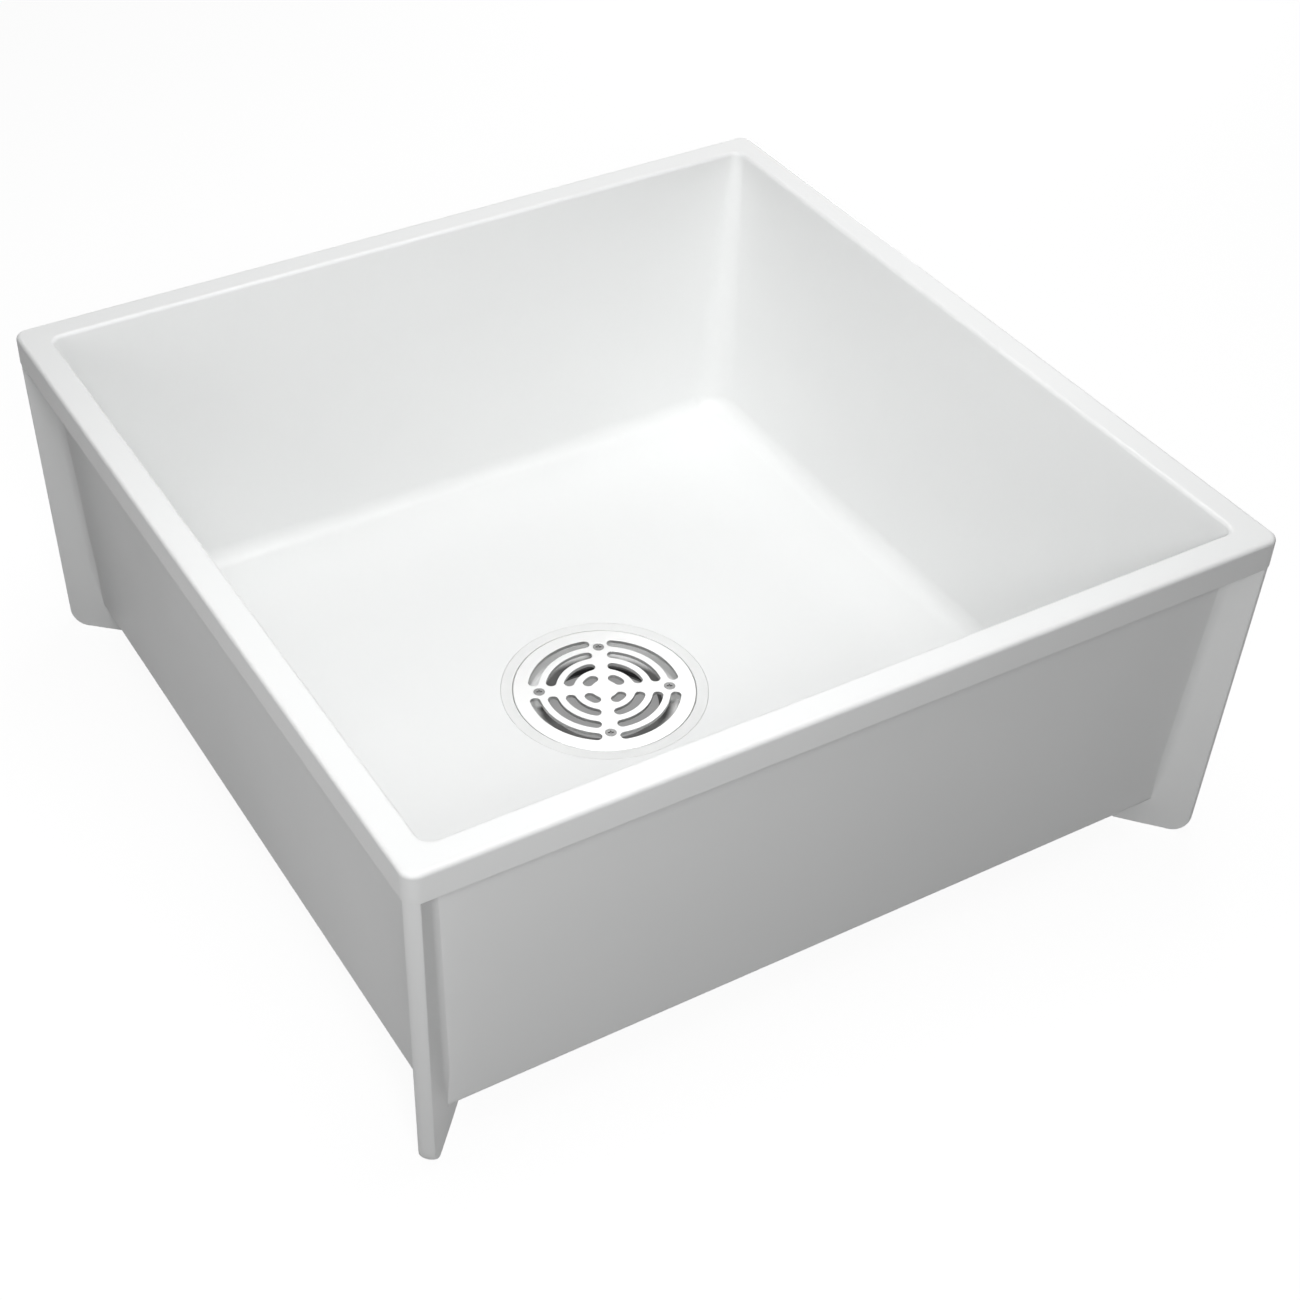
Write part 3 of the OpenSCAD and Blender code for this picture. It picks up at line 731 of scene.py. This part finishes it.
def screwRule(graph, s):
    around, levels = 32, 72
    x, y, z = splitVector(graph, graph.node("GeometryNodeInputPosition"))
    level = (levels - 1) / 2 - z
    headPart, conePart = clamped(graph, level), clamped(graph, level - 1)
    shankPart, pointPart = clamped(graph, (level - 2) / (levels - 4)), clamped(graph, level - (levels - 2))
    shankLength = s["length"] - s["headHeight"] - s["point"]
    down = s["headEdge"] * headPart + (s["headHeight"] - s["headEdge"]) * conePart
    down = down + shankLength * shankPart + s["point"] * pointPart
    fade = clamped(graph, shankPart * s["threadOnset"]) * (1 - pointPart)
    rise = threadRise(graph, x, y, down * -1, s["threadPitch"]) * fade * s["threadDepth"]
    radius = s["headRadius"] - s["headEdge"] * (1 - headPart) - (s["headRadius"] - s["rootRadius"]) * conePart
    radius = radius + rise - s["rootRadius"] * s["pointTaper"] * pointPart
    body = movePoints(graph, tube(graph, around, levels), x * radius, y * radius, down * -1)
    length, width, depth = s["crossLength"], s["crossWidth"], s["crossDepth"] * 2
    cross = [block(graph, length, width, depth), block(graph, width, length, depth)]
    screw = combine(graph, "DIFFERENCE", body, cross)
    screw = shiftShape(graph, screw, s["pitchRadius"], 0.0, s["top"])
    return spinCopies(graph, screw, s["count"], s["turn"])


plateScrews = growPiece("plateScrews", screws, screwFinish, screwRule)
smoothFaces(plateScrews, sharpAngles["screws"])
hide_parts("strainer_screws")
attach(plateScrews, "screws")
print("stage: screws made,", len(plateScrews.data.polygons), "faces")

# Drain fitting: a flanged body with a seat for the plate, a cup, screw bosses and a threaded tail
drain = {
    "bosses": 4, "turn": math.radians(-25), "bossRadius": 5.5 * mm, "pitchRadius": 47.5 * mm,
    "bossFoot": 15.7 * mm, "bossTop": 24.7 * mm, "webReach": 56.5 * mm, "webWidth": 5.5 * mm,
    "holeRadius": 2.25 * mm, "holeFoot": 16.7 * mm, "threadRoot": 58.1 * mm, "threadDepth": 0.85 * mm,
    "threadPitch": 2.5 * mm, "threadFrom": 3.6 * mm, "threadTo": 13.6 * mm,
    "section": {  # millimetres
        "mouth": 46.7, "tail": 58.1, "tailFoot": 2.2, "tailEdge": 0.9, "neck": 59.0, "neckFoot": 14.0,
        "neckFillet": 0.8, "flange": 75.35, "flangeFoot": 22.0, "flangeTop": 28.0, "lowerEdge": 0.5,
        "upperEdge": 0.35, "seat": 67.0, "seatFace": 24.7, "seatEdge": 0.4, "cup": 56.0, "cupFoot": 16.5,
        "cupFillet": 2.5, "throat": 40.0, "throatTop": 15.9, "throatEdge": 1.0, "pocket": 51.9,
        "pocketFoot": 4.2, "pocketTop": 14.2,
    },
}


def threadRows(s):  # section points close enough together to carry a thread
    radius, low, high = (s[key] / mm for key in ("threadRoot", "threadFrom", "threadTo"))
    count = round((high - low) / thread["rowSpacing"])
    return [(radius, low + (high - low) * i / count) for i in range(count + 1)]


def cutThread(graph, shape, s):  # lifts the points of the plain sleeve to the thread's ridges
    nearby, fadeLength = 0.05 * mm, 1 * mm
    x, y, z = splitVector(graph, graph.node("GeometryNodeInputPosition"))
    out = graph.maths("SQRT", x * x + y * y)
    onSleeve = graph.maths("COMPARE", out, s["threadRoot"], nearby)
    fadeIn = clamped(graph, (z - s["threadFrom"]) / fadeLength)
    fade = fadeIn * clamped(graph, (s["threadTo"] - z) / fadeLength)
    rise = threadRise(graph, x, y, z, s["threadPitch"]) * fade * onSleeve * s["threadDepth"]
    scale = 1 + rise / out
    return movePoints(graph, shape, x * scale, y * scale, z)


def drainRule(graph, s):
    bossAround, holeAround = 40, 32
    body = cutThread(graph, s["Geometry"], s)
    height = s["bossTop"] - s["bossFoot"]
    middle = (s["bossTop"] + s["bossFoot"]) / 2
    x, y, z = splitVector(graph, graph.node("GeometryNodeInputPosition"))
    boss = tube(graph, bossAround, 2)
    boss = movePoints(graph, boss, x * s["bossRadius"], y * s["bossRadius"], z * height)
    boss = spinCopies(graph, shiftShape(graph, boss, s["pitchRadius"], 0.0, middle), s["bosses"], s["turn"])
    reach = s["webReach"] - s["pitchRadius"]
    web = block(graph, reach, s["webWidth"], height)
    web = shiftShape(graph, web, s["pitchRadius"] + reach / 2, 0.0, middle)
    web = spinCopies(graph, web, s["bosses"], s["turn"])
    hole = movePoints(
        graph, tube(graph, holeAround, 2), x * s["holeRadius"], y * s["holeRadius"],
        s["holeFoot"] + (z + 0.5) * (s["bossTop"] - s["holeFoot"] + mm))
    hole = spinCopies(graph, shiftShape(graph, hole, s["pitchRadius"], 0.0, 0.0), s["bosses"], s["turn"])
    return combine(graph, "DIFFERENCE", combine(graph, "UNION", body, [boss, web]), [hole])


def drainSection(c):
    tailEdge, fillet, low, high = c["tailEdge"], c["neckFillet"], c["lowerEdge"], c["upperEdge"]
    seatEdge, cupFillet, throatEdge = c["seatEdge"], c["cupFillet"], c["throatEdge"]
    underFlange = c["flangeFoot"] - fillet
    section = [(c["mouth"], c["tailFoot"])]
    section += arcPoints(c["tail"] - tailEdge, c["tailFoot"] + tailEdge, tailEdge, -90, 0, 3)
    section += threadRows(drain) + [(c["neck"], c["neckFoot"]), (c["neck"], underFlange)]
    section += arcPoints(c["neck"] + fillet, underFlange, fillet, 180, 90, 3)
    section += arcPoints(c["flange"] - low, c["flangeFoot"] + low, low, -90, 0, 2)
    section += arcPoints(c["flange"] - high, c["flangeTop"] - high, high, 0, 90, 4)
    section += arcPoints(c["seat"] + seatEdge, c["flangeTop"] - seatEdge, seatEdge, 90, 180, 3)
    section += [(c["seat"], c["seatFace"])]
    section += arcPoints(c["cup"] + seatEdge, c["seatFace"] - seatEdge, seatEdge, 90, 180, 3)
    section += arcPoints(c["cup"] - cupFillet, c["cupFoot"] + cupFillet, cupFillet, 0, -85, 5)
    section += arcPoints(c["throat"] + throatEdge, c["throatTop"] - throatEdge, throatEdge, 90, 180, 4)
    section += [(c["throat"], c["pocketTop"]), (c["pocket"], c["pocketTop"]), (c["pocket"], c["pocketFoot"])]
    return section + [(c["mouth"], c["pocketFoot"])]


drainBody = lathe("drainFitting", drainSection(drain["section"]))
drainFitting = growPiece("drainFitting", drain, drainFinish, drainRule, drainBody)
smoothFaces(drainFitting, sharpAngles["drain"])
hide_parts("drain_body")
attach(drainFitting, "sink")

# Locknut: a ring with lugs to turn it by, threaded inside
nut = {
    "lugs": 8, "lugWidth": 12.0 * mm, "lugFrom": 64.0 * mm, "lugTo": 73.0 * mm, "lugEdge": 0.8 * mm,
    "low": 4.2 * mm, "high": 11.7 * mm, "threadRoot": 60.1 * mm, "threadDepth": -0.8 * mm,
    "threadPitch": 2.5 * mm, "threadFrom": 4.4 * mm, "threadTo": 11.5 * mm,
    "section": {  # millimetres
        "outside": 69.0, "foot": 4.2, "top": 11.7, "footEdge": 1.0, "topEdge": 0.5, "footMouth": 60.4,
        "topMouth": 60.6,
    },
}


def nutRule(graph, s):
    body = cutThread(graph, s["Geometry"], s)
    cube = graph.node("GeometryNodeMeshCube", inputs={"Vertices X": 3, "Vertices Y": 4, "Vertices Z": 4})
    x, y, z = splitVector(graph, graph.node("GeometryNodeInputPosition"))
    outer = clamped(graph, x * 2)
    rimmed = [graph.maths("GREATER_THAN", graph.maths("ABSOLUTE", v), 0.4) for v in (y, z)]
    width, height = s["lugWidth"] / 2, (s["high"] - s["low"]) / 2
    across = graph.maths("SIGN", y) * (width - s["lugEdge"] * (1 - rimmed[0]))
    up = (s["low"] + s["high"]) / 2 + graph.maths("SIGN", z) * (height - s["lugEdge"] * (1 - rimmed[1]))
    middle = s["lugTo"] - s["lugEdge"]
    along = s["lugFrom"] + clamped(graph, x * 2 + 1) * (middle - s["lugFrom"])
    along = along + outer * (s["lugTo"] - middle) * (1 - graph.maths("MAXIMUM", *rimmed))
    lug = movePoints(graph, cube, along, across, up)
    return combine(graph, "UNION", body, [spinCopies(graph, lug, s["lugs"], 0.0)])


def nutSection(c):
    outside, foot, top = c["outside"], c["foot"], c["top"]
    section = [(outside, foot + c["footEdge"]), (outside, top - c["topEdge"]), (outside - c["topEdge"], top)]
    section += [(c["topMouth"], top)] + threadRows(nut)[::-1]
    return section + [(c["footMouth"], foot), (outside - c["footEdge"], foot)]


lugNut = growPiece("lugNut", nut, drainFinish, nutRule, lathe("lugNut", nutSection(nut["section"])))
smoothFaces(lugNut, sharpAngles["nut"])
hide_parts("locknut")
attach(lugNut, "sink")
print("stage: drain made")

# Camera: where the photograph was taken from
camera = {
    "azimuth": -30.01, "elevation": 41.33, "roll": 0.62, "distance": 1.4646,
    "focus": (-0.0959, -0.1013, 0.129), "lens": 62.38, "shiftX": 0.0695, "shiftY": 0.0440, "near": 0.05,
    "far": 50,
}


def placeCamera(c):
    azimuth, elevation, roll = (math.radians(c[key]) for key in ("azimuth", "elevation", "roll"))
    back = Vector((math.sin(azimuth) * math.cos(elevation), -math.cos(azimuth) * math.cos(elevation),
                   math.sin(elevation)))
    right = (-back).cross(Vector((0, 0, 1))).normalized()
    up = back.cross(right)
    turn = Matrix((right, up, back)).transposed() @ Matrix.Rotation(roll, 3, "Z")
    data = bpy.data.cameras.new("camera")
    data.lens = c["lens"]
    data.shift_x, data.shift_y = c["shiftX"], c["shiftY"]
    data.clip_start, data.clip_end = c["near"], c["far"]
    made = addObject("camera", data)
    made.matrix_world = Matrix.Translation(Vector(c["focus"]) + back * c["distance"]) @ turn.to_4x4()
    bpy.context.scene.camera = made


placeCamera(camera)

# Studio: a pale floor, a broad lamp overhead, two lamps in front, two behind for the sides turned away from
# the camera, weak ones into the bowl and along the left rim, and a faint even surround
lamps = {
    "key": {"power": 6.9, "size": 0.4, "place": (-0.55, -1.1, 1.08), "aim": (-0.1, -0.29, 0.15)},
    "low": {"power": 3.0, "size": 0.6, "place": (-0.95, -1.3, 0.5), "aim": (-0.15, -0.15, 0.15)},
    "overhead": {"power": 13.3, "size": 1.2, "place": (0.1, 0.1, 1.65), "aim": (0, 0, 0)},
    "back": {"power": 5.6, "size": 1.2, "place": (1.3, 1.3, 1.4), "aim": (0, 0, 0.1)},
    "backLow": {"power": 6.0, "size": 0.22, "place": (1.2, 1.2, 0.12), "aim": (0.3, 0.3, 0.12)},
    "inner": {
        "power": 0.25, "size": 0.35, "place": (-0.35, -0.4, 0.75), "aim": (0.25, 0.25, 0.12), "spread": 75},
    "rimLeft": {"power": 0.45, "size": 0.4, "place": (-0.64, -0.1, 0.5), "aim": (-0.3, -0.1, 0.2)},
}
studio = {
    "surround": 0.05, "floorColour": 0.12, "floorGlow": 0.92, "floorHalf": 15000, "floorCorner": 100,
    "floorThickness": 20, "shadeHalf": 0.22, "shadeEdge": 0.03, "shadeGlow": 0.3,
}


def addLamp(name, s):
    data = bpy.data.lights.new(name, "AREA")
    data.shape = "DISK"
    data.size = s["size"]
    data.energy = s["power"]
    data.spread = math.radians(s.get("spread", 180))
    made = addObject(name, data)
    made.location = s["place"]
    made.visible_camera = False
    made.rotation_mode = "QUATERNION"
    made.rotation_quaternion = (Vector(s["aim"]) - Vector(s["place"])).to_track_quat("-Z", "Y")


for name, sizes in lamps.items():
    addLamp(name, sizes)


def seenDirectly(graph):  # 1 for the rays of the camera, of mirrors and of glass
    names = ("Is Camera Ray", "Is Glossy Ray", "Is Transmission Ray")
    direct, mirrored, through = (graph.node("ShaderNodeLightPath", output=name) for name in names)
    return graph.maths("MAXIMUM", graph.maths("MAXIMUM", direct, mirrored), through)


def surroundShader():
    world = bpy.data.worlds.new("surround")
    bpy.context.scene.world = world
    world.use_nodes = True
    world.node_tree.nodes.clear()
    graph = Wire(world.node_tree)
    strength = seenDirectly(graph) * (1 - studio["surround"]) + studio["surround"]
    glow = graph.node("ShaderNodeBackground", inputs={"Color": (1, 1, 1, 1), "Strength": strength})
    graph.node("ShaderNodeOutputWorld", inputs={"Surface": glow})


surroundShader()


def floorShader(graph, place):
    tone = studio["floorColour"]
    lit = graph.node("ShaderNodeBsdfDiffuse", inputs={"Color": (tone, tone, tone, 1)})
    x, y, z = splitVector(graph, place)
    away = graph.maths("MAXIMUM", graph.maths("ABSOLUTE", x), graph.maths("ABSOLUTE", y))
    # painted shadow: the glow that the camera sees is dimmed to shadeGlow in a square under the basin
    beside = clamped(graph, (away - studio["shadeHalf"]) / studio["shadeEdge"] + 0.5)  # dim under the basin
    shaded = beside * (1 - studio["shadeGlow"]) + studio["shadeGlow"]
    strength = seenDirectly(graph) * shaded * studio["floorGlow"]
    glow = graph.node("ShaderNodeEmission", inputs={"Strength": strength})
    return graph.node("ShaderNodeAddShader", inputs={0: lit, 1: glow})


floorFaces = [roundedSquare(studio["floorHalf"], studio["floorCorner"], z, arcSteps=4, sideSteps=2)
              for z in (0, -studio["floorThickness"])]
floor = stackRings("floor", floorFaces, closed=False)
floor.data.materials.append(newFinish("paleFloor", floorShader))

bpy.context.scene.view_settings.view_transform = "Standard"
print("stage: studio made")
